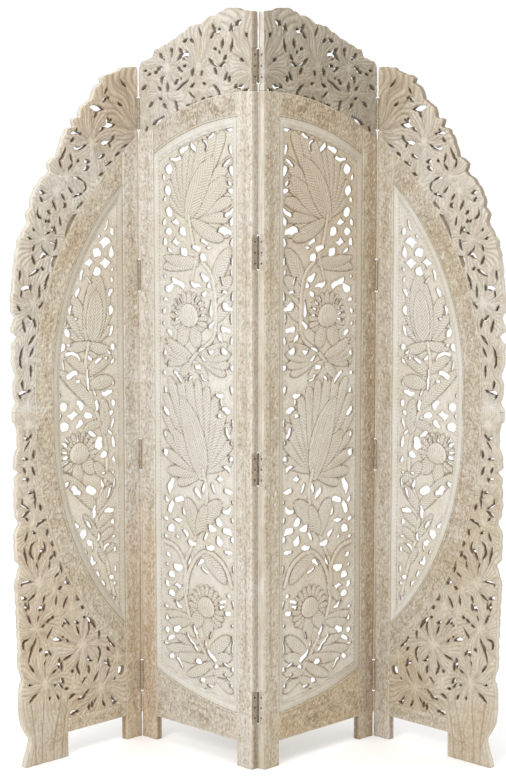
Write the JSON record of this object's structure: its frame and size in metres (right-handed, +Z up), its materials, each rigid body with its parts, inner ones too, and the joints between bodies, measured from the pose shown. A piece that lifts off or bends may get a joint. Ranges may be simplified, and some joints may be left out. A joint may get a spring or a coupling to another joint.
{
  "type": "folding screen",
  "caption": "Folding room divider of carved, pierced wooden panels with an oval ring of rail, leafy arched edges and butt hinges, standing in a zigzag.",
  "frame": {"origin": "on the floor, in the middle of the screen's width and depth as it stands in its zigzag", "axes": "+Z up from the floor, +X to the viewer's right along the screen's width, +Y away from the viewer, so the middle fold points to -Y"},
  "size_m": [1.1846, 0.3016, 1.83],
  "materials": {
    "frame_wood": "whitewashed, rubbed through at the edges",
    "carved_wood": "whitewashed carving with brown in the recesses",
    "dowel_wood": "bare",
    "hinge_metal": "dulled"
  },
  "bodies": {
    "left_centre_panel": {"left_centre_beading": "frame_wood", "left_centre_bottom_rail": "frame_wood", "left_centre_centre_stile": "frame_wood", "left_centre_crest": "carved_wood", "left_centre_dowels": "dowel_wood", "left_centre_fold_stile": "frame_wood", "left_centre_fret_panel": "carved_wood", "left_centre_middle_leaves": "hinge_metal", "left_centre_middle_screws": "hinge_metal", "left_centre_side_leaves": "hinge_metal", "left_centre_side_screws": "hinge_metal", "left_centre_top_rail": "frame_wood", "left_side_hinge_pins": "hinge_metal", "middle_hinge_pins": "hinge_metal"},
    "left_outer_panel": {"left_outer_beading": "frame_wood", "left_outer_bottom_rail": "frame_wood", "left_outer_dowels": "dowel_wood", "left_outer_fold_stile": "frame_wood", "left_outer_fret_panel": "carved_wood", "left_outer_leaves": "hinge_metal", "left_outer_lower_arc_rail": "frame_wood", "left_outer_lower_border": "carved_wood", "left_outer_screws": "hinge_metal", "left_outer_trunk_foot": "frame_wood", "left_outer_upper_arc_rail": "frame_wood", "left_outer_upper_border": "carved_wood"},
    "right_centre_panel": {"right_centre_beading": "frame_wood", "right_centre_bottom_rail": "frame_wood", "right_centre_centre_stile": "frame_wood", "right_centre_crest": "carved_wood", "right_centre_dowels": "dowel_wood", "right_centre_fold_stile": "frame_wood", "right_centre_fret_panel": "carved_wood", "right_centre_middle_leaves": "hinge_metal", "right_centre_middle_screws": "hinge_metal", "right_centre_side_leaves": "hinge_metal", "right_centre_side_screws": "hinge_metal", "right_centre_top_rail": "frame_wood", "right_side_hinge_pins": "hinge_metal"},
    "right_outer_panel": {"right_outer_beading": "frame_wood", "right_outer_bottom_rail": "frame_wood", "right_outer_dowels": "dowel_wood", "right_outer_fold_stile": "frame_wood", "right_outer_fret_panel": "carved_wood", "right_outer_leaves": "hinge_metal", "right_outer_lower_arc_rail": "frame_wood", "right_outer_lower_border": "carved_wood", "right_outer_screws": "hinge_metal", "right_outer_trunk_foot": "frame_wood", "right_outer_upper_arc_rail": "frame_wood", "right_outer_upper_border": "carved_wood"}
  },
  "joints": [
    {"name": "middle_fold", "type": "hinge", "parent": "left_centre_panel", "child": "right_centre_panel", "pos_m": [0, -0.1364, 0], "axis": [0, 0, 1], "range_deg": [-92, 88]},
    {"name": "left_fold", "type": "hinge", "parent": "left_centre_panel", "child": "left_outer_panel", "pos_m": [-0.29793, 0.1364, 0], "axis": [0, 0, 1], "range_deg": [-92, 88]},
    {"name": "right_fold", "type": "hinge", "parent": "right_centre_panel", "child": "right_outer_panel", "pos_m": [0.29793, 0.1364, 0], "axis": [0, 0, -1], "range_deg": [-92, 88]}
  ]
}
